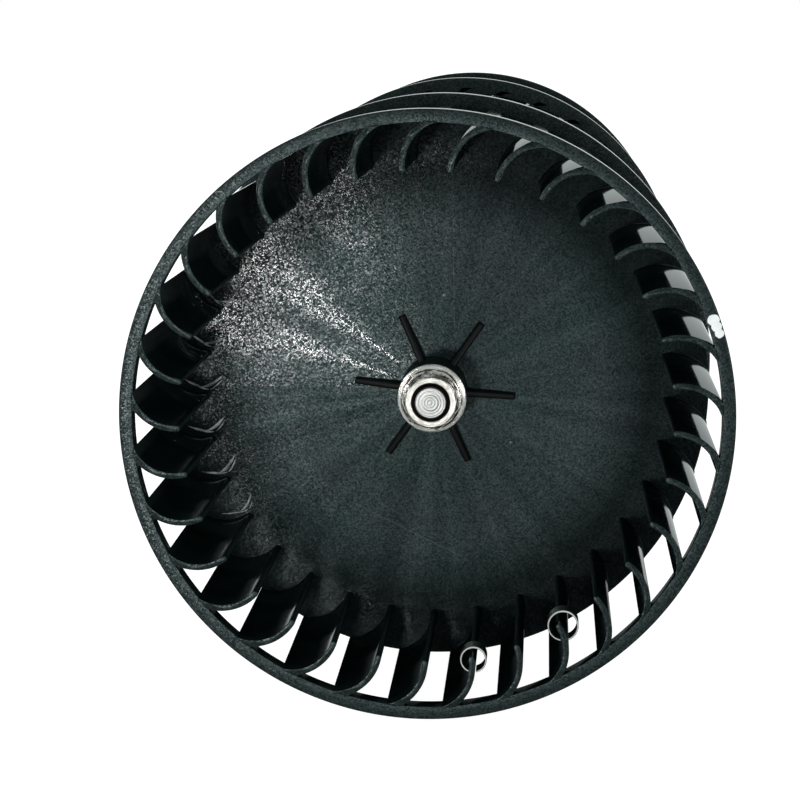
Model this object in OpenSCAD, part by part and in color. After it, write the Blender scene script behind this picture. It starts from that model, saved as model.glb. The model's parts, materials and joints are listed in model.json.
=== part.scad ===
// Twin-wheel centrifugal blower: a double-ended motor with a moulded wheel on each end of its shaft.
// The shaft runs along Y, the front wheel is at -Y, and Z points up from the sole of the mounting base.

/* [Wheels] */
// Diameter over a wheel's outer end ring
wheel_d = 152; // [148:1:156]
// Diameter over a wheel's inner end ring, beside the motor
inner_ring_d = 153; // [150:1:158]
// Length of one wheel along the shaft
wheel_w = 116; // [110:1:118]
// Distance over both wheels
overall_w = 408; // [404:2:430]
// Radial width of the outer end ring
ring_band = 3.3; // [2.5:0.1:5]
// Inner radius of the inner end ring
inner_ring_r = 71; // [68:0.5:72]
// Thickness of the outer end ring along the shaft
outer_ring_t = 5.4; // [3:0.2:8]
// Thickness of the inner end ring along the shaft
inner_ring_t = 7; // [4:0.5:10]
// Round on the rings' outer edges
ring_round = 0.6; // [0.3:0.1:1]

/* [Blades] */
// Blades in one wheel
blade_count = 33; // [24:1:40]
// Radius on which the blade tips lie
tip_r = 60.8; // [58:0.1:64]
// Thickness of a blade
blade_t = 1.5; // [1.2:0.1:2]
// Radius of the curve of a blade
blade_curve_r = 11.8; // [11.5:0.1:13]
// Angle of the first blade tip below the X axis, seen from the front
first_tip = 2.8; // [0:0.1:10]

/* [Centre plate] */
// Depth of the plate below the outer face of the wheel, at its rim
plate_depth = 55; // [50:1:60]
// Thickness of the plate
plate_t = 2.4; // [2:0.1:3]
// Height that the plate rises from its rim to the hub
plate_rise = 2; // [0:0.1:3]
// Depth of the hub's seat below the outer face of the wheel
seat_depth = 35.8; // [34:0.1:38]
// Diameter of the hub boss
hub_d = 17; // [16:0.5:18]
// Length of the hub
hub_len = 30; // [28:1:34]
// Radius at which the ribs end
rib_end_r = 21.4; // [18:0.1:26]
// Thickness of a rib
rib_t = 1.7; // [1.2:0.1:2.4]

/* [Shaft] */
// Diameter in the bearings
shaft_d = 12; // [12:1:12]
// Diameter of the wheel's seat
seat_d = 10; // [9:0.5:10]
// Diameter of the threaded ends
thread_d = 8; // [8:1:8]

/* [Motor] */
// Height of the shaft above the sole of the base
shaft_height = 60; // [58:1:66]
// Diameter of the motor's shell
shell_d = 104; // [96:1:104]
// Length of the shell
shell_w = 92; // [86:1:96]
// Length of the motor over its end covers, without their necks
motor_w = 128; // [120:1:132]
// Wall of the shell and covers
wall = 2; // [1.5:0.1:2.5]
// Length of the stator's stack
stack_w = 56; // [40:1:60]
// Air gap between rotor and stator
air_gap = 0.4; // [0.35:0.05:0.6]

/* [Base] */
// Width of the base across the shaft
base_w = 92; // [86:1:96]
// Hole spacing across the shaft
hole_x = 72; // [66:1:76]
// Hole spacing along the shaft
hole_y = 96; // [80:1:100]
// Radius of the base's holes
hole_r = 3.25; // [2.5:0.05:4]
// Thickness of the base's sheet
sheet_t = 2.5; // [2:0.1:3]

/* [Hidden] */
$fn = 96;

wheel_r = wheel_d / 2;
blade_end_r = wheel_r - ring_band;
plate_r = blade_end_r;
blade_pitch = 360 / blade_count;
plate_back = plate_depth + plate_t;
hub_back = seat_depth + hub_len;

// Flange nut, M8
nut_flat = 13;
nut_h = 8;
nut_flange_d = 17.9;
nut_flange_t = 1.2;
nut_mouth_d = 10;
nut_turn = 17.3;
end_above_nut = 1;
shaft_end_depth = seat_depth - nut_h - end_above_nut;
shaft_len = overall_w - 2 * shaft_end_depth;
thread_len = nut_h + end_above_nut + 1.2;

// Hub bush
bush_d = 13;
bush_flat = 4.2;

// Balance clips: the tip that each sits on, its diameter, its depth below the wheel's outer face,
// and how far its centre is beyond the tip and beside it
clips = [[7, 6.7, 2.2, 1.4, 0.3], [5, 7.8, 1.2, 1.3, 0.9]];
clip_len = 6;
clip_wall = 0.45;

// Bearings, 12 x 32 x 10
bearing_d = 32;
bearing_w = 10;
race_wall = 2.1;
ball_r = 2.98;
ball_count = 8;
ball_ring_r = 11;
groove_r = 3.05;

// Motor
cover_w = (motor_w - shell_w) / 2;
neck_d = 37;
neck_w = 13;
bearing_mid = motor_w / 2 + neck_w - 2 - bearing_w / 2;
stack_d = shell_d - 2 * wall;
bore_d = 56;
slot_count = 24;
rotor_d = bore_d - 2 * air_gap;
cage_w = 7;
tie_ring_r = 44;
tie_r = 2;
tie_count = 4;
tie_start = 45;
vent_count = 12;

// Base and straps
mount_ring_d = 52;
mount_ring_w = 10;
mount_mid = motor_w / 2 + 6;
upright_in = mount_mid - sheet_t / 2;
base_len = 2 * (upright_in + sheet_t);
strap_t = 1.6;
ear_x = 34;
ear_z = 6;

// Puts a wheel's own axes in place: X to the right, Y up, and Z out of the wheel's outer face
module at_front() {
    translate([0, -overall_w / 2, shaft_height]) rotate([90, 0, 0]) children();
}

module at_rear() {
    mirror([0, 1, 0]) at_front() children();
}

// A stretch of the wheel from one depth to another below its outer face
module between(d0, d1) {
    translate([0, 0, -d1]) linear_extrude(d1 - d0) children();
}

// The motor's own axes: Z along the shaft towards the front
module at_motor() {
    translate([0, 0, shaft_height]) rotate([90, 0, 0]) children();
}

// ---- Wheel ----

function blade_mid(a) = [
    tip_r + blade_t / 2 + blade_curve_r * sin(a),
    -blade_curve_r * (1 - cos(a))
];
function blade_side(a, h) = blade_mid(a) + h * [sin(a), cos(a)];
blade_sweep = 78;
blade_steps = 12;
flare = 0.35;
function blade_half(u) = blade_t / 2 * (1 + flare * pow(u, 4));

module blade_outline(end_r) {
    points = concat(
        [for (i = [0:blade_steps])
            blade_side(blade_sweep * i / blade_steps, blade_half(i / blade_steps))],
        [for (i = [blade_steps:-1:0])
            blade_side(blade_sweep * i / blade_steps, -blade_half(i / blade_steps))]
    );
    intersection() {
        union() {
            polygon(points);
            translate(blade_mid(0)) circle(d = blade_t, $fn = 24);
        }
        circle(r = end_r);
    }
}

module blades(d0, d1, end_r) {
    for (i = [0:blade_count - 1])
        rotate(-first_tip - i * blade_pitch) between(d0, d1) blade_outline(end_r);
}

module end_ring(d, r0, d0, d1) {
    r = d / 2;
    translate([0, 0, -d1]) rotate_extrude() difference() {
        translate([r0, 0]) square([r - r0, d1 - d0]);
        for (z = [0, d1 - d0]) translate([r, z]) rotate(45)
            square(ring_round * 1.2, center = true);
    }
}

rib_count = 6;
first_rib = 5.4;
rib_hub_depth = 48.7;
rib_end_depth = 52.1;
pip_r = 25;
first_pip = 35.4;

// The plate is flat where the blades stand on it, and rises from there to the hub
flat_r = tip_r - 0.5;

function plate_face(r) = plate_depth - plate_rise * max(0, flat_r - r) / (flat_r - hub_d / 2);

module wheel_plate() {
    hub_r = hub_d / 2;
    difference() {
        union() {
            rotate_extrude() polygon([
                [0, -seat_depth], [hub_r - 0.4, -seat_depth],
                [hub_r, -plate_face(hub_r)], [flat_r, -plate_depth], [plate_r, -plate_depth],
                [plate_r, -plate_back], [flat_r, -plate_back],
                [hub_r + 1, -plate_face(hub_r + 1) - plate_t],
                [hub_r, -hub_back], [0, -hub_back]
            ]);
            for (i = [0:rib_count - 1]) rotate(-first_rib - i * 360 / rib_count)
                translate([0, rib_t / 2, 0]) rotate([90, 0, 0]) linear_extrude(rib_t)
                    polygon([
                        [hub_r - 1, -rib_hub_depth], [rib_end_r, -rib_end_depth],
                        [rib_end_r, -plate_depth], [hub_r - 1, -plate_depth]
                    ]);
            for (i = [0:2]) rotate(-first_pip - i * 120)
                translate([pip_r, 0, -plate_face(pip_r) - 0.3]) cylinder(h = 0.8, d = 1.4);
        }
        translate([0, 0, -hub_back - 1]) cylinder(h = hub_len + 2, d = bush_d);
    }
}

module hub_bush() {
    translate([0, 0, -hub_back]) difference() {
        cylinder(h = hub_len, d = bush_d);
        translate([0, 0, -1]) linear_extrude(hub_len + 2) seat_outline();
    }
}

// The wheel's seat on the shaft has one flat, which turns the wheel
module seat_outline() {
    intersection() {
        circle(d = seat_d);
        translate([-seat_d, -seat_d]) square([2 * seat_d, seat_d + bush_flat]);
    }
}

module flange_nut() {
    translate([0, 0, -seat_depth]) difference() {
        union() {
            rotate_extrude() polygon([
                [0, 0], [nut_flange_d / 2, 0], [nut_flange_d / 2, nut_flange_t],
                [7.1, 2.6], [0, 2.6]
            ]);
            intersection() {
                rotate(-nut_turn) cylinder(h = nut_h, d = nut_flat / cos(30), $fn = 6);
                cylinder(h = nut_h + nut_flat / 2 - 0.6, r1 = nut_h + nut_flat / 2 - 0.6, r2 = 0);
            }
        }
        translate([0, 0, -1]) cylinder(h = nut_h + 2, d = thread_d);
        translate([0, 0, nut_h - 1]) cylinder(h = 1.01, d1 = thread_d, d2 = nut_mouth_d);
    }
}

// A clip's slot lies where the curve of the blade crosses the clip's wall
module clip(tip, d, depth, beyond, beside) {
    slot_w = 1.95;
    crossing = asin((beyond + d / 2 * 0.92 - blade_t / 2) / blade_curve_r);
    slot_y = -blade_curve_r * (1 - cos(crossing)) - beside;
    rotate(-first_tip - tip * blade_pitch) translate([tip_r + beyond, beside, -depth - clip_len])
        difference() {
            cylinder(h = clip_len, d = d);
            translate([0, 0, -1]) cylinder(h = clip_len + 2, d = d - 2 * clip_wall);
            translate([0, slot_y - slot_w / 2, -1]) cube([d, slot_w, clip_len + 2]);
        }
}

module front_balance_clips() {
    at_front() steel() for (c = clips) clip(c[0], c[1], c[2], c[3], c[4]);
}

module paint_dab() {
    for (p = [[19.7, 74.3, 3.2], [18.4, 74.5, 2.9], [17.0, 74.7, 2.5]])
        rotate(p[0]) translate([p[1], 0, 0]) cylinder(h = 0.12, d = p[2]);
}

// ---- Shaft and rotor ----

module shaft_body() {
    half = shaft_len / 2;
    seat_start = overall_w / 2 - hub_back;
    at_motor() union() {
        translate([0, 0, -seat_start]) cylinder(h = 2 * seat_start, d = shaft_d);
        for (s = [0, 1]) mirror([0, 0, s]) {
            translate([0, 0, seat_start - 1]) linear_extrude(half - thread_len - seat_start + 1)
                seat_outline();
            translate([0, 0, half - thread_len - 1])
                cylinder(h = thread_len + 0.8, d = thread_d);
            translate([0, 0, half - 0.2]) cylinder(h = 0.2, d1 = thread_d, d2 = thread_d - 0.4);
        }
    }
}

module rotor_stack() {
    at_motor() translate([0, 0, -stack_w / 2]) difference() {
        cylinder(h = stack_w, d = rotor_d);
        translate([0, 0, -1]) cylinder(h = stack_w + 2, d = shaft_d);
    }
}

module rotor_end_rings() {
    fin_count = 8;
    at_motor() for (s = [0, 1]) mirror([0, 0, s]) translate([0, 0, stack_w / 2]) {
        difference() {
            cylinder(h = cage_w, d = rotor_d - 2);
            translate([0, 0, -1]) cylinder(h = cage_w + 2, d = rotor_d - 20);
        }
        for (i = [0:fin_count - 1]) rotate(i * 360 / fin_count)
            translate([rotor_d / 2 - 8.5, -1, cage_w - 1]) cube([6, 2, 6]);
    }
}

// ---- Bearings ----

module race(r0, r1) {
    rotate_extrude() difference() {
        translate([r0, -bearing_w / 2]) square([r1 - r0, bearing_w]);
        translate([ball_ring_r, 0]) circle(r = groove_r, $fn = 48);
    }
}

module inner_race() {
    race(shaft_d / 2, ball_ring_r - 2.2);
}

module outer_race() {
    race(ball_ring_r + 2.2, bearing_d / 2);
}

module balls() {
    for (i = [0:ball_count - 1]) rotate(i * 360 / ball_count)
        translate([ball_ring_r, 0, 0]) sphere(r = ball_r, $fn = 32);
}

module at_front_bearing() {
    at_motor() translate([0, 0, bearing_mid]) children();
}

module at_rear_bearing() {
    mirror([0, 1, 0]) at_front_bearing() children();
}

// ---- Motor ----

module tie_places() {
    for (i = [0:tie_count - 1]) rotate(tie_start + i * 360 / tie_count)
        translate([tie_ring_r, 0, 0]) children();
}

module end_cover() {
    r = shell_d / 2;
    nr = neck_d / 2;
    z0 = shell_w / 2;
    z1 = motor_w / 2;
    z2 = z1 + neck_w;
    difference() {
        rotate_extrude() polygon([
            [r, z0], [r, z1 - 6], [r - 1.2, z1 - 2.5], [r - 4, z1],
            [nr, z1], [nr, z2], [shaft_d / 2 + 0.5, z2], [shaft_d / 2 + 0.5, z2 - 2],
            [bearing_d / 2, z2 - 2], [bearing_d / 2, z1 - wall],
            [r - wall - 3, z1 - wall], [r - wall, z1 - wall - 4.5],
            [r - wall, z0]
        ]);
        for (i = [0:vent_count - 1]) rotate((i + 0.5) * 360 / vent_count)
            translate([25, -2, z1 - wall - 1]) cube([14, 4, wall + 2]);
        tie_places() translate([0, 0, z0]) cylinder(h = cover_w + 1, r = tie_r + 0.25, $fn = 32);
    }
}

module shell() {
    at_motor() difference() {
        cylinder(h = shell_w, d = shell_d, center = true);
        cylinder(h = shell_w + 2, d = stack_d, center = true);
        rotate(-90) translate([stack_d / 2 - 2, 0, -shell_w / 2 + 12]) rotate([0, 90, 0])
            cylinder(h = wall + 4, d = 9);
    }
}

module stator_stack() {
    slot_w = 3.6;
    slot_end_r = 39;
    at_motor() translate([0, 0, -stack_w / 2]) linear_extrude(stack_w) difference() {
        circle(d = stack_d);
        circle(d = bore_d);
        for (i = [0:slot_count - 1]) rotate((i + 0.5) * 360 / slot_count)
            translate([bore_d / 2 - 1, -slot_w / 2]) square([slot_end_r - bore_d / 2 + 1, slot_w]);
        tie_places() circle(r = tie_r + 0.3, $fn = 32);
    }
}

// The coils' end turns stand out of both ends of the stack, and their sides lie in its slots
module coil_bundle() {
    coil_w = 2.8;
    overhang = 12;
    slot_fill = [bore_d / 2 + 2, 38];
    at_motor() {
        for (i = [0:slot_count - 1]) rotate((i + 0.5) * 360 / slot_count)
            translate([slot_fill[0], -coil_w / 2, -stack_w / 2 - 1])
                cube([slot_fill[1] - slot_fill[0], coil_w, stack_w + 2]);
        for (s = [0, 1]) mirror([0, 0, s]) translate([0, 0, stack_w / 2 + 0.6])
            rotate_extrude() translate([slot_fill[0], 0]) difference() {
                square([slot_fill[1] - slot_fill[0] + 2.5, overhang]);
                for (x = [0, slot_fill[1] - slot_fill[0] + 2.5]) translate([x, overhang])
                    rotate(45) square(4, center = true);
            }
    }
}

head_d = 7;
head_h = 2.8;
tie_nut_flat = 7;
tie_nut_h = 3.2;

module screw_head(d, h) {
    difference() {
        union() {
            cylinder(h = h * 0.55, d = d);
            translate([0, 0, h * 0.55]) cylinder(h = h * 0.45, d1 = d, d2 = d * 0.6);
        }
        for (a = [0, 90]) rotate(a) translate([-d * 0.3, -0.45, h * 0.45]) cube([d * 0.6, 0.9, h]);
    }
}

tie_seat = motor_w / 2;

module tie_screw_set() {
    at_motor() tie_places() {
        translate([0, 0, -tie_seat - tie_nut_h - 1])
            cylinder(h = 2 * tie_seat + tie_nut_h + 1, r = tie_r, $fn = 32);
        translate([0, 0, tie_seat]) screw_head(head_d, head_h);
    }
}

module tie_nut_set() {
    at_motor() tie_places() translate([0, 0, -tie_seat - tie_nut_h]) difference() {
        cylinder(h = tie_nut_h, d = tie_nut_flat / cos(30), $fn = 6);
        translate([0, 0, -1]) cylinder(h = tie_nut_h + 2, r = tie_r, $fn = 32);
    }
}

// ---- Mounting ----

module rubber_ring() {
    at_motor() translate([0, 0, mount_mid - mount_ring_w / 2]) difference() {
        cylinder(h = mount_ring_w, d = mount_ring_d);
        translate([0, 0, -1]) cylinder(h = mount_ring_w + 2, d = neck_d);
    }
}

module upright_outline() {
    top = shaft_height + ear_z;
    difference() {
        polygon([
            [-base_w / 2, 0], [base_w / 2, 0], [base_w / 2, 14],
            [ear_x + 7, top - 8], [ear_x + 7, top], [-ear_x - 7, top],
            [-ear_x - 7, top - 8], [-base_w / 2, 14]
        ]);
        translate([0, shaft_height]) circle(d = mount_ring_d);
        translate([-mount_ring_d / 2, shaft_height]) square([mount_ring_d, ear_z + 1]);
        for (x = [-ear_x, ear_x]) translate([x, shaft_height]) circle(d = 4.4, $fn = 32);
    }
}

module base() {
    difference() {
        union() {
            translate([-base_w / 2, -base_len / 2, 0]) cube([base_w, base_len, sheet_t]);
            for (s = [0, 1]) mirror([0, s, 0]) translate([0, -upright_in, 0]) rotate([90, 0, 0])
                linear_extrude(sheet_t) upright_outline();
        }
        for (x = [-1, 1], y = [-1, 1]) translate([x * hole_x / 2, y * hole_y / 2, -1])
            cylinder(h = sheet_t + 2, r = hole_r);
        translate([base_w / 2 - 6, 0, -1]) cylinder(h = sheet_t + 2, d = 4, $fn = 32);
    }
}

// A strap closes the top of an upright's seat over the rubber ring, and is screwed to its two ears
module strap() {
    r = mount_ring_d / 2;
    at_motor() translate([0, 0, mount_mid + sheet_t / 2]) difference() {
        linear_extrude(strap_t) difference() {
            union() {
                circle(r = r + 7);
                translate([-ear_x - 7, -6]) square([2 * ear_x + 14, 12]);
            }
            circle(r = r);
            translate([-ear_x - 8, -ear_x - 46]) square([2 * ear_x + 16, ear_x + 40]);
        }
        for (x = [-ear_x, ear_x]) translate([x, 0, -1]) cylinder(h = strap_t + 2, d = 4.4, $fn = 32);
    }
}

module strap_screw_set() {
    seat = mount_mid + sheet_t / 2 + strap_t;
    at_motor() for (s = [0, 1], x = [-ear_x, ear_x]) mirror([0, 0, s]) translate([x, 0, 0]) {
        translate([0, 0, seat]) screw_head(8, 3);
        translate([0, 0, seat - 8]) cylinder(h = 8, d = 4, $fn = 32);
        translate([0, 0, mount_mid - sheet_t / 2 - 3.2])
            cylinder(h = 3.2, d = 7 / cos(30), $fn = 6);
    }
}

module grommet() {
    at_motor() rotate(-90) translate([shell_d / 2, 0, -shell_w / 2 + 12]) rotate([0, 90, 0])
        difference() {
            union() {
                translate([0, 0, -wall - 1]) cylinder(h = wall + 1, d = 9);
                cylinder(h = 2, d = 13);
            }
            translate([0, 0, -wall - 2]) cylinder(h = wall + 6, d = 5);
        }
}

module ground_screw() {
    translate([base_w / 2 - 6, 0, 0]) {
        cylinder(h = sheet_t, d = 4, $fn = 32);
        translate([0, 0, sheet_t]) screw_head(8, 3);
    }
}

module plastic() { color([0.07, 0.09, 0.09]) children(); }
module steel() { color([0.72, 0.72, 0.7]) children(); }
module zinc() { color([0.8, 0.78, 0.72]) children(); }
module rubber() { color([0.12, 0.12, 0.12]) children(); }

inner_d0 = wheel_w - inner_ring_t;

module outer_ring_part() { plastic() end_ring(wheel_d, blade_end_r, 0, outer_ring_t); }
module inner_ring_part() { plastic() end_ring(inner_ring_d, inner_ring_r, inner_d0, wheel_w); }
module outer_blades_part() { plastic() blades(0, plate_depth, blade_end_r); }

module inner_blades_part() {
    plastic() {
        blades(plate_back, inner_d0, blade_end_r);
        blades(inner_d0 - 0.01, wheel_w, inner_ring_r);
    }
}

module plate_part() { plastic() wheel_plate(); }

at_front() outer_ring_part();  // front_wheel_outer_ring
at_front() outer_blades_part();  // front_wheel_outer_blades
at_front() plate_part();  // front_wheel_plate
at_front() inner_blades_part();  // front_wheel_inner_blades
at_front() inner_ring_part();  // front_wheel_inner_ring
at_front() steel() hub_bush();  // front_hub_bush
at_front() zinc() flange_nut();  // front_flange_nut
front_balance_clips();
at_front() color("white") paint_dab();  // paint_mark
at_rear() outer_ring_part();  // rear_wheel_outer_ring
at_rear() outer_blades_part();  // rear_wheel_outer_blades
at_rear() plate_part();  // rear_wheel_plate
at_rear() inner_blades_part();  // rear_wheel_inner_blades
at_rear() inner_ring_part();  // rear_wheel_inner_ring
at_rear() steel() hub_bush();  // rear_hub_bush
at_rear() zinc() flange_nut();  // rear_flange_nut
steel() shaft_body();  // shaft
color([0.45, 0.45, 0.47]) rotor_stack();  // rotor_core
color([0.8, 0.8, 0.82]) rotor_end_rings();  // rotor_cage
at_front_bearing() steel() inner_race();  // front_bearing_inner_race
at_rear_bearing() steel() inner_race();  // rear_bearing_inner_race
at_front_bearing() steel() outer_race();  // front_bearing_outer_race
at_rear_bearing() steel() outer_race();  // rear_bearing_outer_race
at_front_bearing() steel() balls();  // front_bearing_balls
at_rear_bearing() steel() balls();  // rear_bearing_balls
at_motor() steel() end_cover();  // front_cover
mirror([0, 1, 0]) at_motor() steel() end_cover();  // rear_cover
steel() shell();  // stator_shell
color([0.4, 0.4, 0.42]) stator_stack();  // stator_core
color([0.72, 0.4, 0.2]) coil_bundle();  // windings
zinc() tie_screw_set();  // tie_screws
zinc() tie_nut_set();  // tie_nuts
rubber() rubber_ring();  // front_mount_ring
mirror([0, 1, 0]) rubber() rubber_ring();  // rear_mount_ring
steel() strap();  // front_strap
mirror([0, 1, 0]) steel() strap();  // rear_strap
zinc() strap_screw_set();  // strap_screws
steel() base();  // mount_base
rubber() grommet();  // lead_grommet
zinc() ground_screw();  // earth_screw
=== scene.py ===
"""Looks of a centrifugal blower: two moulded wheels on the ends of a double-ended motor's shaft."""

import json
import math
import random

import bmesh
import bpy
from mathutils import Matrix, Vector


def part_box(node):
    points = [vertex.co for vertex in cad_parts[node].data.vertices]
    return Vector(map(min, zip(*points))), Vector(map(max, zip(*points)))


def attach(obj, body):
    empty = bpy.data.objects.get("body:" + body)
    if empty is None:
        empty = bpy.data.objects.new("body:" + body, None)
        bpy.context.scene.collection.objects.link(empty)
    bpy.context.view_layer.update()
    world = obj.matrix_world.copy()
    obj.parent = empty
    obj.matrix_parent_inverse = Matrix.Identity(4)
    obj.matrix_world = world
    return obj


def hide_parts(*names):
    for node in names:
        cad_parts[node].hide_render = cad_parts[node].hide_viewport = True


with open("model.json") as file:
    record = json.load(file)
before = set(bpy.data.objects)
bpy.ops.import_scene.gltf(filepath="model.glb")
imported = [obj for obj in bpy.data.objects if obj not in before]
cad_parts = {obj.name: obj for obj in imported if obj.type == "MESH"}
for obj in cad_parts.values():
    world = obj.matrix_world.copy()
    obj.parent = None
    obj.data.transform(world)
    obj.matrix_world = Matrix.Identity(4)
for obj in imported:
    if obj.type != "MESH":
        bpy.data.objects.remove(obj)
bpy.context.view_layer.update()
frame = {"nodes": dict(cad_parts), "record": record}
MM = 0.001

# ---- Sizes, from the frame ----

ring_low, ring_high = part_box("front_wheel_outer_ring")
WHEEL_R = (ring_high.x - ring_low.x) / 2
AXIS_Z = (ring_high.z + ring_low.z) / 2
FRONT_Y = ring_low.y
OUTER_RING_T = ring_high.y - ring_low.y
inner_low, inner_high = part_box("front_wheel_inner_ring")
INNER_RING_R = (inner_high.x - inner_low.x) / 2
WHEEL_W = inner_high.y - FRONT_Y
INNER_RING_T = inner_high.y - inner_low.y
plate_low, plate_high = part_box("front_wheel_plate")
BLADE_END_R = (plate_high.x - plate_low.x) / 2
SEAT_DEPTH = plate_low.y - FRONT_Y
HUB_BACK = plate_high.y - FRONT_Y
PLATE_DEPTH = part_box("front_wheel_outer_blades")[1].y - FRONT_Y
PLATE_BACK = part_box("front_wheel_inner_blades")[0].y - FRONT_Y
nut_low, nut_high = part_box("front_flange_nut")
FLANGE_R = (nut_high.x - nut_low.x) / 2
NUT_TOP = nut_low.y - FRONT_Y
FLOOR_Z = AXIS_Z - INNER_RING_R
SLOTS = {entry["node"]: entry["material_slot"] for entry in frame["record"]["subparts"]}

# ---- Sizes that the boxes don't show ----

INNER_RING_HOLE_R = 71 * MM
# A blade's section is an arc that starts at the tip and thickens towards the root by the flare
BLADE_COUNT = 33
TIP_R = 60.8 * MM
BLADE_T = 1.5 * MM
CURVE_R = 11.8 * MM
SWEEP = math.radians(78)
FLARE = 0.35
FIRST_TIP = math.radians(2.8)
BLADE_STEPS = 16
TIP_STEPS = 8
# The plate is flat outside FLAT_R and rises towards its hub
HUB_R = 8.5 * MM
BUSH_R = 6.5 * MM
PLATE_RISE = 2 * MM
FLAT_R = TIP_R - 0.5 * MM
# Ribs round the hub, whose front edge slopes back from the hub, and ejector pips between them
RIBS = 6
FIRST_RIB = math.radians(5.4)
RIB_T = 1.7 * MM
RIB_END_R = 21.4 * MM
RIB_HUB_DEPTH = 48.7 * MM
RIB_END_DEPTH = 52.3 * MM
PIPS = 3
PIP_RING_R = 25 * MM
FIRST_PIP = math.radians(35.4)
# How far a moulded piece runs into the one it grows from
BURIED = 0.3 * MM
SEGMENTS = BLADE_COUNT * 8
CORNER_STEPS = 4


def on_wheel(side):
    """The function that carries a point on a wheel, as x, y and depth behind its face, into the row frame."""
    if side == "front":
        return lambda p: Vector((p[0], FRONT_Y + p[2], AXIS_Z + p[1]))
    return lambda p: Vector((p[0], -FRONT_Y - p[2], AXIS_Z + p[1]))


def turned(r, angle):
    """The point at radius r and clockwise angle below the X axis, seen from the front."""
    return (r * math.cos(angle), -r * math.sin(angle))


def circle(count):
    """The angles of equal steps round a circle."""
    return [2 * math.pi * i / count for i in range(count)]


# ---- Meshes ----


def finish_mesh(name, bm, stands_for=None, material=None, sharp=35):
    """Turns a bmesh into a piece on the rotor, in its slot's material unless another is given."""
    slot = SLOTS.get(stands_for, "black_plastic")
    bmesh.ops.recalc_face_normals(bm, faces=bm.faces)
    mesh = bpy.data.meshes.new(name)
    bm.to_mesh(mesh)
    bm.free()
    mesh.polygons.foreach_set("use_smooth", [True] * len(mesh.polygons))
    mesh.set_sharp_from_angle(angle=math.radians(sharp))
    piece = bpy.data.objects.new(name, mesh)
    bpy.context.scene.collection.objects.link(piece)
    mesh.materials.append(material or SLOT_MATERIALS[slot])
    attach(piece, "rotor")
    if stands_for:
        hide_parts(stands_for)


def rounded(corners):
    """A closed outline of (x, y, radius) corners, with each rounded by an arc of its radius."""
    out = []
    for i, (*corner, r) in enumerate(corners):
        if r <= 0:
            out.append(tuple(corner))
            continue
        a, b, c = Vector(corners[i - 1][:2]), Vector(corner), Vector(corners[(i + 1) % len(corners)][:2])
        u, v = (a - b).normalized(), (c - b).normalized()
        half = u.angle(v) / 2
        reach = r / math.tan(half)
        centre = b + (u + v).normalized() * (r / math.sin(half))
        start, end = b + u * reach - centre, b + v * reach - centre
        turn = start.angle_signed(end)
        for k in range(CORNER_STEPS + 1):
            out.append(tuple(centre + Matrix.Rotation(-turn * k / CORNER_STEPS, 2) @ start))
    return out


def bridge(bm, one, two):
    """Joins two closed loops of vertices by a band of faces."""
    for k in range(len(one)):
        n = (k + 1) % len(one)
        bm.faces.new((one[k], one[n], two[n], two[k]))


def loft(bm, loops, closed=False):
    """Skins a run of equal loops of points, and joins its last loop to its first or caps both ends."""
    rows = [[bm.verts.new(p) for p in loop] for loop in loops]
    for one, two in zip(rows, rows[1:]):
        bridge(bm, one, two)
    if closed:
        bridge(bm, rows[-1], rows[0])
    else:
        bm.faces.new(rows[0])
        bm.faces.new(rows[-1])


def lathe(bm, outline, place):
    """Turns a closed outline of (radius, depth) points about the wheel's axis."""
    loft(bm, [[place((*turned(r, a), d)) for r, d in outline] for a in circle(SEGMENTS)], closed=True)


def dome(bm, place, x, y, depth, r, height, sides=16, rows=5):
    """A low dome that stands on the surface at the given depth."""
    loops = []
    for k in range(rows + 1):
        t = math.pi / 2 * k / (rows + 0.5)
        reach, deep = r * math.cos(t), depth - height * math.sin(t)
        loops.append([place((x + reach * math.cos(a), y + reach * math.sin(a), deep)) for a in circle(sides)])
    loft(bm, loops)


# ---- Materials ----


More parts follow.
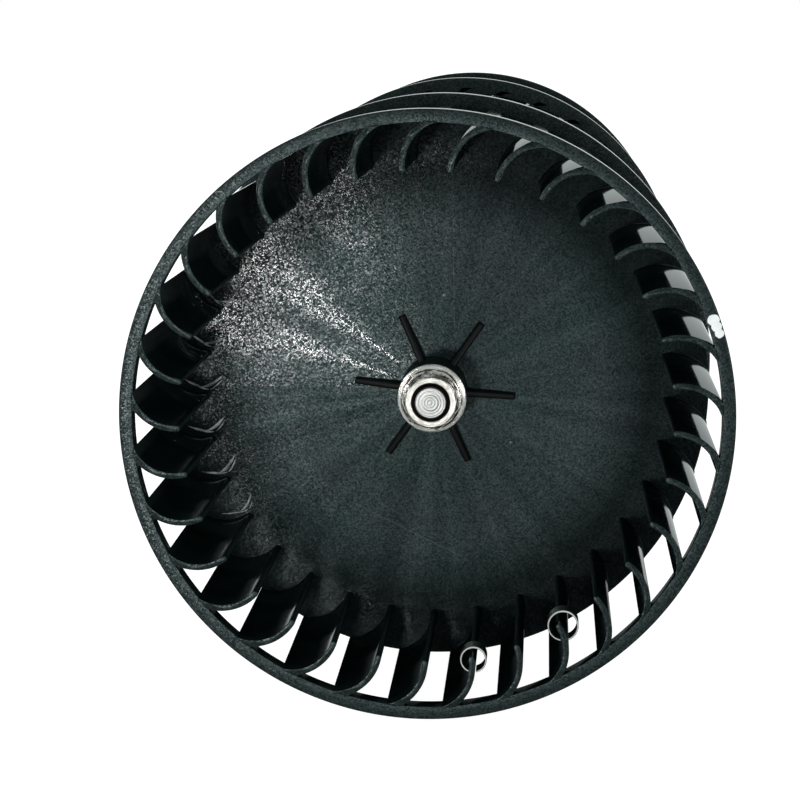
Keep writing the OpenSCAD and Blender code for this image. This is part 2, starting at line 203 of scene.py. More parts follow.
class Nodes:
    """A short way to write the node tree of a material or of the world."""

    def __init__(self, name, world=False):
        self.owner = (bpy.data.worlds if world else bpy.data.materials).new(name)
        self.owner.use_nodes = True
        self.tree = self.owner.node_tree
        self.shader = self.tree.nodes["Background" if world else "Principled BSDF"]

    def add(self, kind, links=None, **settings):
        node = self.tree.nodes.new(kind)
        for key, value in settings.items():
            setattr(node, key, value)
        for key, value in (links or {}).items():
            self.set(node, key, value)
        return node

    def set(self, node, key, value):
        socket = node.inputs[key]
        if isinstance(value, bpy.types.NodeSocket):
            self.tree.links.new(value, socket)
        else:
            socket.default_value = value

    def finish(self, **sockets):
        for key, value in sockets.items():
            self.set(self.shader, key.replace("_", " "), value)
        return self.owner

    def place(self):
        return self.add("ShaderNodeTexCoord").outputs["Object"]

    def surface(self):
        return self.add("ShaderNodeTexCoord").outputs["Normal"]

    def stretched(self, vector, scale):
        return self.add("ShaderNodeMapping", {"Vector": vector, "Scale": scale}).outputs[0]

    def part(self, vector, axis):
        return self.add("ShaderNodeSeparateXYZ", {0: vector}).outputs[axis]

    def joined(self, x, y, z):
        return self.add("ShaderNodeCombineXYZ", {0: x, 1: y, 2: z}).outputs[0]

    def noise(self, vector, scale, detail=3.0, roughness=0.55):
        links = {"Vector": vector, "Scale": scale, "Detail": detail, "Roughness": roughness}
        return self.add("ShaderNodeTexNoise", links).outputs["Fac"]

    def math(self, operation, *values):
        return self.add("ShaderNodeMath", dict(enumerate(values)), operation=operation).outputs[0]

    def vector(self, operation, *values, output=0):
        return self.add("ShaderNodeVectorMath", dict(enumerate(values)), operation=operation).outputs[output]

    def ramp(self, value, stops):
        """The value carried from the first two stops to the last two, and held at the ends."""
        names = ("From Min", "From Max", "To Min", "To Max")
        return self.add("ShaderNodeMapRange", {"Value": value, **dict(zip(names, stops))}).outputs[0]

    def near(self, value, centre, width):
        """One at the centre, falling evenly to nothing at the width from it."""
        return self.ramp(self.math("ABSOLUTE", self.math("SUBTRACT", value, centre)), (0, width, 1, 0))

    def blend(self, factor, a, b):
        return self.add("ShaderNodeMix", {0: factor, 2: a, 3: b}, data_type="FLOAT").outputs[0]

    def mix(self, factor, a, b):
        return self.add("ShaderNodeMix", {0: factor, 6: a, 7: b}, data_type="RGBA").outputs[2]

    def tones(self, value, low, high, a, b, most=1.0):
        """The first tone where the value is low, and the second where it is high."""
        return self.mix(self.ramp(value, (low, high, 0.0, most)), a, b)

    def bump(self, height, strength, distance, normal=None):
        links = {"Height": height, "Strength": strength, "Distance": distance}
        if normal is not None:
            links["Normal"] = normal
        return self.add("ShaderNodeBump", links).outputs[0]

    def flakes(self, vector, spread, normal):
        """A surface tilted at random in fine cells, which sparkle in a hard light, and each cell's level."""
        cells = self.add("ShaderNodeTexVoronoi", {"Vector": vector, "Scale": FLAKE_SCALE}).outputs["Color"]
        tilt = self.vector("MULTIPLY_ADD", cells, (spread,) * 3, (-spread / 2,) * 3)
        level = self.add("ShaderNodeSeparateColor", {0: cells}).outputs[0]
        return self.vector("NORMALIZE", self.vector("ADD", tilt, normal)), level

    def round_the_shaft(self):
        return self.add("ShaderNodeTangent", direction_type="RADIAL", axis="Y").outputs[0]

    def polar(self):
        """The radius from the shaft's axis and the angle about it."""
        where = self.place()
        across, up = self.part(where, "X"), self.math("SUBTRACT", self.part(where, "Z"), AXIS_Z)
        squares = self.math("ADD", self.math("MULTIPLY", across, across), self.math("MULTIPLY", up, up))
        return self.math("SQRT", squares), self.math("ARCTAN2", up, across)

    def scratch(self, where, ends):
        """One along a hair-fine straight line on the face, and nothing off it."""
        x0, z0, x1, z1 = (v * MM for v in ends)
        run = Vector((x1 - x0, 0, z1 - z0))
        along, off = run.normalized(), Vector((-run.z, 0, run.x)).normalized()
        at = self.vector("SUBTRACT", where, (x0, 0, AXIS_Z + z0))
        gone = self.vector("DOT_PRODUCT", at, tuple(along), output="Value")
        beside = self.vector("DOT_PRODUCT", at, tuple(off), output="Value")
        within = self.near(gone, run.length / 2, run.length / 2)
        line = self.near(beside, 0.0, SCRATCH_R)
        return self.math("MULTIPLY", line, self.ramp(within, (0.0, 0.15, 0.0, 1.0)))

    def lit_or_seen(self, lit, seen):
        """One colour or strength for what the surface lights, and another for the camera that sees it."""
        camera_ray = self.add("ShaderNodeLightPath").outputs["Is Camera Ray"]
        return (self.mix if isinstance(seen, tuple) else self.blend)(camera_ray, lit, seen)


def colour(r, g, b):
    return (r, g, b, 1.0)


def shade(tone, factor):
    return colour(*(c * factor for c in tone[:3]))


# Noise scales, in cells per metre
GRAIN_SCALE = 1500
FLAKE_SCALE = 3000
SHEEN = colour(0.73, 1.0, 1.0)
# Fine scratches on the plate, from end to end in millimetres right of and above the shaft
SCRATCHES = [
    (-38.2, -5.7, -33.6, 3.5), (-28.3, -9.2, -25.5, -0.2), (4.3, 65.8, 5.2, 12.7),
    (12.2, -58.4, 31.7, -57.0), (-7.3, -55.9, -0.8, -55.8), (-22.9, -31.0, 9.5, -47.1),
]
SCRATCH_R = 0.16 * MM
# Flow lines that leave the hub as fine threads and spread: angle, half-widths near and far, and starting radius
FLOW_LINES = [(117, 0.02, 0.16, 42 * MM), (144.5, 0.035, 0.2, 12 * MM), (163, 0.045, 0.16, 12 * MM)]
# The part of the plate that sparkles, as its middle angle and half-width: a painted highlight, set where the key
# light's highlight falls
KEY_HIGHLIGHT_AT, KEY_HIGHLIGHT_HALF = math.radians(138), math.radians(64)


def wheel_plastic():
    """Moulded black plastic: grained on the faces across the shaft and smooth on the walls along it."""
    n = Nodes("wheel_plastic")
    where = n.place()
    grained = n.ramp(n.math("ABSOLUTE", n.part(n.surface(), "Y")), (0.5, 0.9, 0.0, 1.0))
    mottle = n.noise(where, 110, 5)
    grain = n.noise(where, GRAIN_SCALE, 3, 0.7)
    tone = n.tones(mottle, 0.35, 0.7, colour(0.002, 0.0045, 0.0045), colour(0.005, 0.0085, 0.009))
    rub = n.ramp(n.noise(n.stretched(where, (220, 220, 900)), 1.0, 6), (0.64, 0.8, 0.0, 0.15))
    tone = n.mix(n.math("MULTIPLY", rub, grained), tone, colour(0.06, 0.07, 0.07))
    gloss = n.blend(grained, n.ramp(mottle, (0.3, 0.75, 0.11, 0.18)), n.ramp(mottle, (0.3, 0.75, 0.34, 0.44)))
    shape = n.bump(grain, n.ramp(grained, (0, 1, 0.03, 0.4)), 0.12 * MM)
    sparkle, level = n.flakes(where, 0.22, shape)
    shine = n.math("MULTIPLY", n.ramp(level, (0, 1, 0.1, 0.4)), n.ramp(grain, (0.3, 0.7, 0.7, 1.3)))
    return n.finish(
        Base_Color=tone, Roughness=gloss, Specular_IOR_Level=n.blend(grained, 0.42, shine), Specular_Tint=SHEEN,
        Normal=shape, Coat_Weight=n.math("MULTIPLY", grained, n.ramp(level, (0.3, 1, 0.0, 0.45))),
        Coat_Roughness=0.2, Coat_Normal=sparkle,
    )


def flow_lines(n, where, radius, angle):
    """One on the flow lines and nothing off them, broken up and fading outwards."""
    lines = 0.0
    for centre, narrow, wide, start in FLOW_LINES:
        away = n.math("ABSOLUTE", n.math("SUBTRACT", angle, math.radians(centre)))
        away = n.math("DIVIDE", away, n.ramp(radius, (20 * MM, 48 * MM, narrow, wide)))
        begun = n.ramp(radius, (start - 2 * MM, start + 2 * MM, 0, 1))
        lines = n.math("MAXIMUM", lines, n.math("MULTIPLY", n.ramp(away, (0.35, 1, 1, 0)), begun))
    lines = n.math("MULTIPLY", lines, n.ramp(n.noise(where, 110, 4), (0.36, 0.54, 0.45, 1.0)))
    return n.math("MULTIPLY", lines, n.ramp(radius, (24 * MM, 54 * MM, 1.8, 0.4)))


def plate_plastic():
    """The plate's plastic: flow marks that fan out from the hub, and a sparkling grain laid round the hub, held to
    the side where the key light's highlight falls as a painted highlight.
    """
    n = Nodes("plate_plastic")
    where = n.place()
    radius, angle = n.polar()
    streaks = n.noise(n.joined(n.math("COSINE", angle), n.math("SINE", angle), 0.0), 6, 7, 0.65)
    mottle = n.noise(where, 60, 6, 0.6)
    grain = n.noise(where, GRAIN_SCALE, 3, 0.75)
    patch = n.noise(where, 33, 3, 0.5)
    tone = n.tones(patch, 0.4, 0.6, colour(0.0025, 0.0085, 0.008), colour(0.006, 0.007, 0.0095))
    tone = n.tones(streaks, 0.52, 0.75, tone, colour(0.018, 0.024, 0.024), 0.5)
    rubbed = 0.0
    for ends in SCRATCHES:
        rubbed = n.math("MAXIMUM", rubbed, n.scratch(where, ends))
    rubbed = n.math("MULTIPLY", rubbed, n.ramp(n.noise(where, 300, 2), (0.35, 0.6, 0.2, 0.8)))
    tone = n.mix(rubbed, tone, colour(0.055, 0.064, 0.064))
    # Painted shade: the plate is darker and less shiny towards its rim, where the deep wheel shades it
    painted_rim_shade = n.ramp(radius, (43 * MM, 57 * MM, 1.0, 0.22))
    tone = n.mix(painted_rim_shade, colour(0.002, 0.003, 0.0035), tone)
    gloss = n.math("ADD", n.ramp(mottle, (0.3, 0.75, 0.34, 0.42)), n.ramp(streaks, (0.35, 0.65, 0.04, -0.05)))
    shape = n.bump(grain, 0.5, 0.1 * MM)
    sparkle, level = n.flakes(where, 0.16, shape)
    shine = n.math("MULTIPLY", n.ramp(level, (0, 1, 0.12, 0.5)), n.ramp(streaks, (0.35, 0.65, 0.82, 1.18)))
    shine = n.math("MULTIPLY", n.math("MULTIPLY", shine, n.ramp(grain, (0.3, 0.7, 0.65, 1.35))), painted_rim_shade)
    sparse = n.ramp(n.noise(where, 90, 4), (0.35, 0.65, 0.3, 1.2))
    patchy = n.math("MULTIPLY", n.ramp(level, (0.3, 1, 0.0, 0.5)), sparse)
    # Painted highlight: the sparkle is kept to the sector where the key light's highlight falls
    patchy = n.math("MULTIPLY", patchy, n.ramp(n.near(angle, KEY_HIGHLIGHT_AT, KEY_HIGHLIGHT_HALF), (0.0, 0.45, 0.2, 1.0)))
    lines = n.math("MULTIPLY", flow_lines(n, where, radius, angle), n.ramp(level, (0.3, 1, 0.0, 1.3)))
    return n.finish(
        Base_Color=tone, Roughness=gloss, Specular_IOR_Level=shine, Specular_Tint=SHEEN, Normal=shape,
        Anisotropic=0.75, Anisotropic_Rotation=0.25, Tangent=n.round_the_shaft(),
        Coat_Weight=n.math("ADD", patchy, lines), Coat_Roughness=0.16, Coat_IOR=1.7, Coat_Normal=sparkle,
    )


def small_plastic(name, dark, light, rough, shine):
    """Plastic of the small mouldings: cloudy in tone and gloss."""
    n = Nodes(name)
    cloud = n.noise(n.place(), 500, 4)
    tone = n.tones(cloud, 0.35, 0.65, dark, light)
    gloss = n.ramp(cloud, (0.3, 0.8, rough, rough + 0.15))
    return n.finish(
        Base_Color=tone, Roughness=gloss, Specular_IOR_Level=shine, Normal=n.bump(cloud, 0.3, 0.05 * MM)
    )


def nickel():
    """Bright nickel plate, streaked round the nut where it was turned, with painted shade on its top and in the
    mouth where the thread starts.
    """
    n = Nodes("nickel_plate")
    where = n.place()
    radius, angle = n.polar()
    round_and_out = n.joined(
        n.math("MULTIPLY", n.math("COSINE", angle), 1.6), n.math("MULTIPLY", n.math("SINE", angle), 1.6),
        n.math("MULTIPLY", radius, 1500),
    )
    swirl = n.noise(round_and_out, 1.0, 4, 0.6)
    cloud = n.noise(where, 420, 5)
    tone = n.tones(cloud, 0.35, 0.7, colour(0.98, 0.97, 0.92), colour(0.9, 0.88, 0.82))
    # Dark brown streaks on the flange, and painted shade that darkens the duller top and the mouth of the nut
    brown_streaks = n.math("MULTIPLY", n.ramp(swirl, (0.5, 0.55, 0.0, 1.0)), n.near(radius, 7.1 * MM, 1.5 * MM))
    tone = n.mix(n.math("MULTIPLY", brown_streaks, 1.6), tone, colour(0.07, 0.05, 0.035))
    top = n.ramp(radius, (6.5 * MM, 6.7 * MM, 1.0, 0.0))
    top = n.math("MULTIPLY", top, n.ramp(swirl, (0.35, 0.65, 0.5, 1.0)))
    tone = n.mix(top, tone, colour(0.34, 0.33, 0.3))
    # Painted shade in the countersunk mouth
    tone = n.mix(n.ramp(radius, (4.9 * MM, 5.2 * MM, 1.0, 0.0)), tone, colour(0.05, 0.04, 0.035))
    fine = n.ramp(n.noise(where, GRAIN_SCALE, 3), (0.4, 0.7, 0.0, 0.06))
    gloss = n.math("ADD", n.ramp(cloud, (0.3, 0.8, 0.16, 0.28)), fine)
    gloss = n.math("ADD", gloss, n.math("MULTIPLY", top, 0.2))
    shape = n.bump(swirl, 0.7, 0.3 * MM, n.bump(cloud, 0.4, 0.2 * MM))
    return n.finish(Base_Color=tone, Roughness=gloss, Normal=shape, Metallic=1.0)


def metal(name, base, rough, scratches=(300, 300, 300), depth=0.02):
    """Bare or plated metal with fine scratches, cloudy tarnish and uneven gloss."""
    n = Nodes(name)
    where = n.place()
    cloud = n.noise(where, 120, 5)
    lines = n.noise(n.stretched(where, scratches), 1.0, 5)
    tone = n.tones(cloud, 0.35, 0.75, base, shade(base, 0.72), 0.6)
    gloss = n.math("ADD", n.ramp(cloud, (0.3, 0.8, *rough)), n.ramp(lines, (0.4, 0.7, 0.0, 0.06)))
    return n.finish(Base_Color=tone, Roughness=gloss, Normal=n.bump(lines, 0.35, depth * MM), Metallic=1.0)


def turned_metal(name, base, rough):
    """Turned steel, with fine grooves round the shaft's axis and a centre mark."""
    n = Nodes(name)
    where = n.place()
    radius = n.polar()[0]
    rings = n.math("SINE", n.math("MULTIPLY", radius, 8200))
    wander = n.math("ADD", n.noise(where, 900, 4), n.ramp(radius, (2.0 * MM, 2.3 * MM, 3.0, 0.0)))
    cloud = n.noise(where, 260, 4)
    tone = n.tones(cloud, 0.3, 0.75, base, shade(base, 0.6), 0.7)
    # Darker along the turned rings and in cloudy patches
    ring_darkening = n.ramp(n.math("ADD", rings, n.math("MULTIPLY", cloud, 3.0)), (0.6, 2.2, 0.6, 0.0))
    tone = n.mix(ring_darkening, tone, colour(0.3, 0.3, 0.29))
    shape = n.bump(n.math("ADD", rings, wander), 0.6, 0.04 * MM)
    gloss = n.ramp(cloud, (0.3, 0.8, *rough))
    return n.finish(Base_Color=tone, Roughness=gloss, Normal=shape, Metallic=1.0)


def painted(name, base, worn):
    """Satin paint with orange peel, dust and scuffs."""
    n = Nodes(name)
    where = n.place()
    cloud = n.noise(where, 45, 6)
    scuffs = n.noise(n.stretched(where, (70, 500, 70)), 1.0, 6, 0.6)
    tone = n.tones(cloud, 0.4, 0.75, base, worn, 0.8)
    tone = n.tones(scuffs, 0.62, 0.78, tone, shade(worn, 3.5), 0.6)
    gloss = n.math("ADD", n.ramp(cloud, (0.3, 0.8, 0.28, 0.42)), n.ramp(scuffs, (0.5, 0.8, 0.0, 0.2)))
    return n.finish(Base_Color=tone, Roughness=gloss, Normal=n.bump(n.noise(where, 900, 2), 0.3, 0.1 * MM))


def rubber():
    n = Nodes("rubber_black")
    where = n.place()
    cloud = n.noise(where, 160, 5)
    tone = n.tones(cloud, 0.35, 0.75, colour(0.012, 0.012, 0.012), colour(0.035, 0.034, 0.032))
    gloss = n.ramp(cloud, (0.3, 0.8, 0.6, 0.8))
    return n.finish(Base_Color=tone, Roughness=gloss, Normal=n.bump(n.noise(where, 2000, 2), 0.4, 0.1 * MM))


def copper():
    """Enamelled wire, laid round the bore."""
    n = Nodes("copper_enamel")
    turns = n.math("SINE", n.math("MULTIPLY", n.polar()[0], 9000))
    cloud = n.noise(n.place(), 150, 4)
    tone = n.tones(cloud, 0.3, 0.8, colour(0.32, 0.10, 0.03), colour(0.55, 0.22, 0.09))
    gloss = n.ramp(cloud, (0.3, 0.8, 0.25, 0.4))
    return n.finish(Base_Color=tone, Roughness=gloss, Metallic=0.85, Normal=n.bump(turns, 0.6, 0.2 * MM))


def paint():
    n = Nodes("paint_white")
    cloud = n.noise(n.place(), 700, 3)
    tone = n.tones(cloud, 0.3, 0.75, colour(0.85, 0.88, 0.9), colour(0.98, 0.98, 0.98))
    gloss = n.ramp(cloud, (0.3, 0.8, 0.3, 0.5))
    return n.finish(Base_Color=tone, Roughness=gloss, Normal=n.bump(cloud, 0.3, 0.1 * MM))


def laminated():
    """Stacked steel sheets of 0.5 mm, as fine lines across the shaft."""
    n = Nodes("core_steel")
    where = n.place()
    lines = n.math("SINE", n.math("MULTIPLY", n.part(where, "Y"), 2 * math.pi / (0.5 * MM)))
    cloud = n.noise(where, 130, 4)
    tone = n.tones(cloud, 0.3, 0.8, colour(0.2, 0.2, 0.21), colour(0.36, 0.36, 0.37))
    gloss = n.ramp(cloud, (0.3, 0.8, 0.35, 0.5))
    return n.finish(Base_Color=tone, Roughness=gloss, Metallic=1.0, Normal=n.bump(lines, 0.5, 0.05 * MM))


PLATE_PLASTIC = plate_plastic()
# Pale plastic for painted caustics: arcs of light that the blades reflect onto the plate
CAUSTIC_PAINT_PLASTIC = small_plastic("painted_caustic_plastic", colour(0.04, 0.05, 0.05), colour(0.38, 0.42, 0.41), 0.3, 0.5)
# Painted shade: the ribs are the plate's own plastic, drawn darker and less shiny where they stand in shade
SHADED_RIB_PLASTIC = small_plastic("rib_plastic_painted_shade", colour(0.001, 0.0018, 0.002), colour(0.003, 0.004, 0.0045), 0.4, 0.2)
# Painted highlight: the pips are the plate's own plastic, drawn paler as well as glossier so that they show a
# highlight
HIGHLIT_PIP_PLASTIC = small_plastic("pip_plastic_painted_highlight", colour(0.03, 0.036, 0.037), colour(0.1, 0.115, 0.115), 0.2, 1.0)
SLOT_MATERIALS = {
    "black_plastic": wheel_plastic(),
    "nickel_plate": nickel(),
    "spring_steel": metal("spring_steel", colour(0.80, 0.79, 0.76), (0.14, 0.24), (200, 900, 200)),
    "white_paint": paint(),
    "turned_steel": turned_metal("turned_steel", colour(0.5, 0.5, 0.49), (0.36, 0.48)),
    "bearing_steel": metal("bearing_steel", colour(0.76, 0.76, 0.77), (0.08, 0.16)),
    "core_steel": laminated(),
    "cast_aluminium": metal("cast_aluminium", colour(0.72, 0.73, 0.75), (0.32, 0.5), (700, 700, 700), 0.06),
    "enamelled_copper": copper(),
    "motor_steel": painted("motor_paint", colour(0.02, 0.02, 0.021), colour(0.05, 0.05, 0.052)),
    "zinc_sheet": metal("zinc_sheet", colour(0.66, 0.67, 0.68), (0.28, 0.42), (60, 60, 60), 0.04),
    "zinc_screws": metal("zinc_screws", colour(0.74, 0.72, 0.66), (0.2, 0.32), (500, 500, 500)),
    "black_rubber": rubber(),
}

for node, slot in SLOTS.items():
    mesh = frame["nodes"][node].data
    mesh.materials.clear()
    mesh.materials.append(SLOT_MATERIALS[slot])

# ---- Wheels ----


def blade_mid(a):
    return Vector((TIP_R + BLADE_T / 2 + CURVE_R * math.sin(a), -CURVE_R * (1 - math.cos(a))))


def blade_outline(grow):
    """A blade's section, thicker by grow on each side: a face, the root in the ring, the other face and the tip."""
    rows = []
    for i in range(BLADE_STEPS + 1):
        u = i / BLADE_STEPS
        a = SWEEP * u
        half = BLADE_T / 2 * (1 + FLARE * u**4) + grow
        out = Vector((math.sin(a), math.cos(a))) * half
        rows.append((blade_mid(a) + out, blade_mid(a) - out))
    limit = BLADE_END_R + BURIED
    rows = [[p * min(1, limit / p.length) for p in row] for row in rows]
    tip = []
    for k in range(1, TIP_STEPS):
        t = math.pi * k / TIP_STEPS
        tip.append(blade_mid(0) + Vector((-math.sin(t), -math.cos(t))) * (BLADE_T / 2 + grow))
    return [r[0] for r in rows] + [r[1] for r in reversed(rows)] + tip


def blade_set(side, part, d0, d1):
    """All the blades on one face of a plate, with rounded free edges and a fillet at the plate."""
    place = on_wheel(side)
    # How much thicker a blade is at each distance from its free edge and from the plate, in millimetres
    edge = [(0.0, -0.13), (0.04, -0.04), (0.14, 0.0)]
    root = [(0.5, 0.0), (0.22, 0.06), (0.08, 0.18), (-0.1, 0.4)]
    if part == "outer":
        levels = [(d0 + d * MM, g * MM) for d, g in edge] + [(d1 - d * MM, g * MM) for d, g in root]
    else:
        levels = [(d0 + d * MM, g * MM) for d, g in reversed(root)]
        levels += [(d1 - d * MM, g * MM) for d, g in reversed(edge)]
    bm = bmesh.new()
    for a in circle(BLADE_COUNT):
        turn = Matrix.Rotation(-FIRST_TIP - a, 2)
        loft(bm, [[place((*(turn @ p), d)) for p in blade_outline(grow)] for d, grow in levels])
    node = f"{side}_wheel_{part}_blades"
    finish_mesh(f"{node}_moulded", bm, node)


def ring(side, part, hole_r, r, d0, d1):
    """An end ring, with its edges rounded as the mould leaves them."""
    inside, outside = 0.15 * MM, 0.4 * MM
    corners = [(hole_r, d0, inside), (r, d0, outside), (r, d1, outside), (hole_r, d1, inside)]
    bm = bmesh.new()
    lathe(bm, rounded(corners), on_wheel(side))
    node = f"{side}_wheel_{part}_ring"
    finish_mesh(f"{node}_moulded", bm, node)


def plate_face(r):
    return PLATE_DEPTH - PLATE_RISE * max(0, FLAT_R - r) / (FLAT_R - HUB_R)


def plate(side):
    """The centre plate with its hub."""
    face = plate_face(HUB_R)
    back = face + PLATE_BACK - PLATE_DEPTH
    edge, bend, foot, lip = 0.15 * MM, 4 * MM, 0.6 * MM, 0.3 * MM
    corners = [
        (BUSH_R, SEAT_DEPTH, 0), (HUB_R - 0.4 * MM, SEAT_DEPTH, lip), (HUB_R, face, foot),
        (FLAT_R, PLATE_DEPTH, bend), (BLADE_END_R, PLATE_DEPTH, edge), (BLADE_END_R, PLATE_BACK, edge),
        (FLAT_R, PLATE_BACK, bend), (HUB_R + 0.1 * MM, back, foot), (HUB_R, HUB_BACK, lip),
        (BUSH_R, HUB_BACK, 0),
    ]
    bm = bmesh.new()
    lathe(bm, rounded(corners), on_wheel(side))
    node = f"{side}_wheel_plate"
    finish_mesh(f"{node}_moulded", bm, node, PLATE_PLASTIC)


def hub_ribs(side):
    """The ribs round the hub, with rounded front edges and a foot that spreads into the plate."""
    place = on_wheel(side)
    crest = [(HUB_R - 1 * MM, RIB_HUB_DEPTH), (RIB_END_R - 0.3 * MM, 51.95 * MM), (RIB_END_R, RIB_END_DEPTH)]
    # Each level's distance behind the crest and growth of the half-thickness, in millimetres, down to the plate
    levels = [(0.0, -0.55), (0.1, -0.25), (0.4, 0.0), (0.8, 0.0), (99, 0.25)]
    bm = bmesh.new()
    for turn in circle(RIBS):
        a = FIRST_RIB + turn
        along, across = Vector(turned(1, a)), Vector(turned(1, a + math.pi / 2))
        loops = []
        for r, d in crest:
            section = []
            for sign, rows in ((1, levels), (-1, levels[::-1])):
                for deep, grow in rows:
                    at = along * r + across * sign * (RIB_T / 2 + grow * MM)
                    section.append(place((*at, min(d + deep * MM, plate_face(r) + BURIED))))
            loops.append(section)
        loft(bm, loops)
    # The ribs take the darker rib plastic, which is painted shade
    finish_mesh(f"{side}_wheel_hub_ribs", bm, material=SHADED_RIB_PLASTIC)


def ejector_pips(side):
    bm = bmesh.new()
    for turn in circle(PIPS):
        x, y = turned(PIP_RING_R, FIRST_PIP + turn)
        dome(bm, on_wheel(side), x, y, plate_face(PIP_RING_R) + 0.05 * MM, 0.7 * MM, 0.5 * MM)
    # The pips take the paler pip plastic, which is partly a painted highlight
    finish_mesh(f"{side}_wheel_ejector_pips", bm, material=HIGHLIT_PIP_PLASTIC)


for side in ("front", "rear"):
    blade_set(side, "outer", 0, PLATE_DEPTH)
    blade_set(side, "inner", PLATE_BACK, WHEEL_W)
    ring(side, "outer", BLADE_END_R, WHEEL_R, 0, OUTER_RING_T)
    ring(side, "inner", INNER_RING_HOLE_R, INNER_RING_R, WHEEL_W - INNER_RING_T, WHEEL_W)
    plate(side)
    hub_ribs(side)
    ejector_pips(side)

# ---- Nuts, clips and paint ----

NUT_TURN = math.radians(17.3)
NUT_FLAT = 13 * MM
NUT_SIDES = 144
HEXAGON_FOOT = 2.4 * MM
HEXAGON_LEVELS = (0, 0.3, 0.6, 0.72, 0.78, 0.83, 0.88, 0.92, 0.96, 1.0)
CHAMFER_TOP_R = 6.35 * MM
CHAMFER_SLOPE = 1.75


def hex_radius(a):
    step = math.pi / 3
    return NUT_FLAT / 2 / math.cos((a % step) - step / 2)


def flange_nut(side):
    """An M8 flange nut: a domed flange, a hexagon chamfered to arcs at its top, and a countersunk mouth."""
    place = on_wheel(side)
    high = SEAT_DEPTH - NUT_TOP

    def level(h, r, flats=False):
        radii = [(a, min(hex_radius(a), r) if flats else r) for a in circle(NUT_SIDES)]
        return [place((*turned(reach, NUT_TURN + a), SEAT_DEPTH - h)) for a, reach in radii]

    flange = [(0.0, FLANGE_R - 0.3 * MM), (0.3 * MM, FLANGE_R), (1.0 * MM, FLANGE_R)]
    flange += [(1.15 * MM, FLANGE_R - 0.15 * MM), (1.3 * MM, FLANGE_R - 0.6 * MM)]
    flange += [(1.75 * MM, 7.4 * MM), (2.1 * MM, 6.9 * MM)]
    mouth = [(high, 5.1 * MM), (high - 0.1 * MM, 5.0 * MM), (high - 1.1 * MM, 4.02 * MM), (0.0, 4.02 * MM)]
    loops = [level(h, r) for h, r in flange]
    for t in HEXAGON_LEVELS:
        h = HEXAGON_FOOT + (high - HEXAGON_FOOT) * t
        loops.append(level(h, CHAMFER_TOP_R + (high - h) * CHAMFER_SLOPE, flats=True))
    loops += [level(h, r) for h, r in mouth]
    bm = bmesh.new()
    loft(bm, loops, closed=True)
    finish_mesh(f"{side}_flange_nut_plated", bm, f"{side}_flange_nut", sharp=28)


def balance_clip(bm, tip, d, depth, beyond, beside):
    """A clip rolled from spring steel strip, pushed over a blade's tip, which crosses its wall in a slot."""
    place = on_wheel("front")
    a = FIRST_TIP + tip * 2 * math.pi / BLADE_COUNT
    along, across = Vector(turned(1, a)), -Vector(turned(1, a + math.pi / 2))
    centre = along * (TIP_R + beyond) + across * beside
    wall, length, slot_w, rim, steps = 0.45 * MM, 6 * MM, 1.95 * MM, 0.1 * MM, 48
    # The slot lies where the blade's curve meets the clip's wall
    crossing = math.asin((beyond + d / 2 * 0.92 - BLADE_T / 2) / CURVE_R)
    slot_y = -CURVE_R * (1 - math.cos(crossing)) - beside
    first = math.asin((slot_y + slot_w / 2) / (d / 2))
    last = 2 * math.pi + math.asin((slot_y - slot_w / 2) / (d / 2))
    outer, inner, end = d / 2, d / 2 - wall, depth + length
    section = [(outer, depth + rim), (outer - rim, depth), (inner + rim, depth), (inner, depth + rim)]
    section += [(inner, end - rim), (inner + rim, end), (outer - rim, end), (outer, end - rim)]
    loops = []
    for k in range(steps + 1):
        t = first + (last - first) * k / steps
        out = along * math.cos(t) + across * math.sin(t)
        loops.append([place((*(centre + out * r), deep)) for r, deep in section])
    loft(bm, loops)


def paint_dab():
    """A dab of paint in overlapping lobes, thin at its edges."""
    place = on_wheel("front")
    rng = random.Random(4)
    bm = bmesh.new()
    # Each lobe's angle above the X axis, and its radius on the wheel and diameter in millimetres
    for angle, r, d in ((19.7, 74.3, 3.1), (18.4, 74.5, 2.8), (17.0, 74.7, 2.4)):
        x, y = turned(r * MM, -math.radians(angle))
        wobble = [1 - 0.1 * rng.random() for _ in range(24)]
        loops = []
        for t, high in ((1.0, -0.02), (0.97, 0.06), (0.85, 0.1), (0.5, 0.118), (0.1, 0.12)):
            reaches = [(a, d / 2 * MM * t * w) for a, w in zip(circle(24), wobble)]
            loops.append([place((x + s * math.cos(a), y + s * math.sin(a), -high * MM)) for a, s in reaches])
        loft(bm, loops)
    finish_mesh("paint_mark_dab", bm, "paint_mark", sharp=60)


flange_nut("front")
flange_nut("rear")
clips = bmesh.new()
balance_clip(clips, tip=7, d=6.7 * MM, depth=2.2 * MM, beyond=1.4 * MM, beside=0.3 * MM)
balance_clip(clips, tip=5, d=7.8 * MM, depth=1.2 * MM, beyond=1.3 * MM, beside=0.9 * MM)
finish_mesh("front_balance_clips_rolled", clips, "front_balance_clips")
paint_dab()

# ---- Painted caustics: pale arcs on the front plate, in the mouths of some blade channels, for light the blades reflect onto it ----

# Each arc's points, as radius in millimetres and pitches past the channel's blade, and its half-width
ARCS = [
    ([(55.9, 0.66), (57.6, 0.45), (59.6, 0.30), (61.6, 0.22), (63.5, 0.20)], 0.42 * MM),
    ([(54.3, 0.76), (56.0, 0.52), (57.8, 0.33), (59.4, 0.2), (60.6, 0.14)], 0.3 * MM),
    ([(60.9, 0.15), (62.4, 0.17), (64.3, 0.24), (66.2, 0.31), (67.6, 0.38)], 0.3 * MM),
]
ARC_CHANNELS = [(13, 0.6), (14, 1.0), (15, 1.0), (16, 1.0), (17, 0.9), (18, 0.6)]
ARC_STEPS = 7


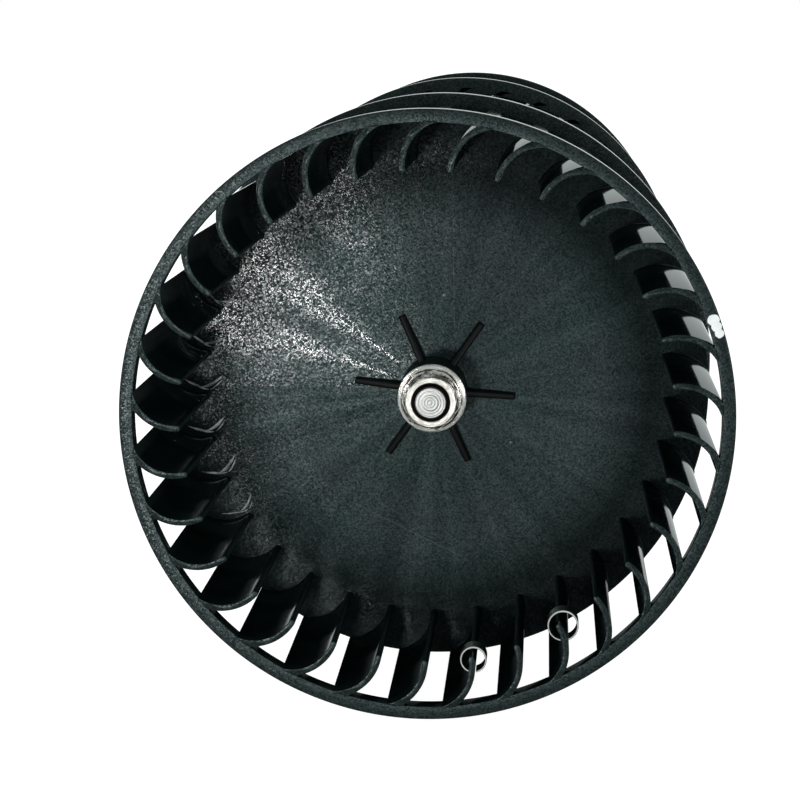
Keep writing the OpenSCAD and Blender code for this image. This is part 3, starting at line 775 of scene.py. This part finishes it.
def through(marks):
    """A smooth run of points through the marks."""
    out = []
    last = len(marks) - 1
    for i in range(last):
        p = [Vector(marks[max(0, min(last, i + o))]) for o in (-1, 0, 1, 2)]
        for step in range(ARC_STEPS):
            t = step / ARC_STEPS
            out.append(0.5 * (
                2 * p[1] + (p[2] - p[0]) * t + (2 * p[0] - 5 * p[1] + 4 * p[2] - p[3]) * t**2
                + (3 * p[1] - p[0] - 3 * p[2] + p[3]) * t**3
            ))
    return out


def painted_caustic_arc(bm, channel, marks, wide):
    """A fine, low ridge on the plate that narrows to its ends, whose pale plastic paints a caustic of light
    reflected by the blades.
    """
    pitch = 2 * math.pi / BLADE_COUNT
    path = [Vector(turned(p.x * MM, FIRST_TIP + (channel + p.y) * pitch)) for p in through(marks)]
    last = len(path) - 1
    loops = []
    for i, at in enumerate(path):
        reach = wide * math.sin(math.pi * (0.04 + 0.92 * i / last))
        run = (path[min(i + 1, last)] - path[max(i - 1, 0)]).normalized()
        aside = Vector((-run.y, run.x)) * reach
        loop = []
        for across, up in ((-1, 0.0), (-0.5, 0.3), (0.0, 0.4), (0.5, 0.3), (1, 0.0), (0.0, -0.2)):
            loop.append(on_wheel("front")((*(at + aside * across), PLATE_DEPTH - up * reach)))
        loops.append(loop)
    loft(bm, loops)


arcs = bmesh.new()
for channel, strength in ARC_CHANNELS:
    for marks, wide in ARCS:
        painted_caustic_arc(arcs, channel, marks, wide * strength)
finish_mesh("front_wheel_plate_painted_caustics", arcs, "front_wheel_plate", CAUSTIC_PAINT_PLASTIC, 60)

# ---- Room, lights and camera ----

# How bright the floor and the room in front are as light, where they look white to the camera
FLOOR_LIT, FLOOR_LIT_FROM, FLOOR_LIT_TO = 0.28, 0.1, 0.55
FRONT_LIT = 0.4
SWEEP_WAY = (0.15, 0.8, 0.55)
FLOOR_HALF = 30
COOL = colour(0.93, 1.0, 0.98)
WHITE = colour(1.0, 1.0, 1.0)
# Each light's place from the middle of the front plate, the side of its square, and its power in watts
LIGHTS = [
    ("key", (-0.105, -0.62, -0.05), 0.05, 0.95),
    ("fill", (0.42, -0.42, 0.05), 0.2, 0.5),
    ("side", (-0.42, -0.4, 0.12), 0.15, 0.6),
]
# The camera's place from the middle of the front ring's face, in wheel radii
CAMERA_PLACE = Vector((0.3823, -8.0076, 1.2843))
CAMERA_WAY = Vector((-0.05725, 0.98696, -0.15046))
CAMERA_LENS = 113.0


def white_floor():
    mesh = bpy.data.meshes.new("floor")
    corners = [(x * FLOOR_HALF, y * FLOOR_HALF, FLOOR_Z) for x, y in ((-1, -1), (1, -1), (1, 1), (-1, 1))]
    mesh.from_pydata(corners, [], [(0, 1, 2, 3)])
    floor = bpy.data.objects.new("floor", mesh)
    bpy.context.scene.collection.objects.link(floor)
    n = Nodes("floor_white")
    depth = n.part(n.add("ShaderNodeNewGeometry").outputs["Position"], "Y")
    lit = n.ramp(depth, (FLOOR_LIT_FROM, FLOOR_LIT_TO, FLOOR_LIT, 1.0))
    mesh.materials.append(n.finish(
        Base_Color=colour(0.3, 0.3, 0.3), Roughness=0.9,
        Emission_Color=n.lit_or_seen(COOL, WHITE), Emission_Strength=n.lit_or_seen(lit, 0.97),
    ))


def white_room():
    """A white sweep behind and above the object, and a dimmer room in front of it."""
    n = Nodes("room", world=True)
    way = n.add("ShaderNodeTexCoord").outputs["Generated"]
    towards = n.vector("DOT_PRODUCT", way, SWEEP_WAY, output="Value")
    lit = n.ramp(towards, (0.1, 0.6, FRONT_LIT, 1.0))
    bpy.context.scene.world = n.finish(Strength=n.lit_or_seen(lit, 1.0), Color=n.lit_or_seen(COOL, WHITE))


def area_light(name, offset, size, power):
    """A square light that faces the middle of the front plate."""
    data = bpy.data.lights.new(name, "AREA")
    data.shape = "RECTANGLE"
    data.size, data.size_y = size, size
    data.energy = power
    lamp = bpy.data.objects.new(name, data)
    lamp.location = Vector((0, FRONT_Y + PLATE_DEPTH, AXIS_Z)) + Vector(offset)
    lamp.rotation_euler = (-Vector(offset)).to_track_quat("-Z", "Y").to_euler()
    bpy.context.scene.collection.objects.link(lamp)


white_floor()
white_room()
for name, offset, size, power in LIGHTS:
    area_light(name, offset, size, power)

camera_data = bpy.data.cameras.new("camera")
camera_data.lens = CAMERA_LENS
camera_data.sensor_width = 36
camera_data.clip_start = 0.01
camera = bpy.data.objects.new("camera", camera_data)
camera.location = Vector((0, FRONT_Y, AXIS_Z)) + CAMERA_PLACE * WHEEL_R
camera.rotation_euler = CAMERA_WAY.to_track_quat("-Z", "Y").to_euler()
scene = bpy.context.scene
scene.collection.objects.link(camera)
scene.camera = camera
scene.view_settings.view_transform = "Standard"
scene.view_settings.look = "None"
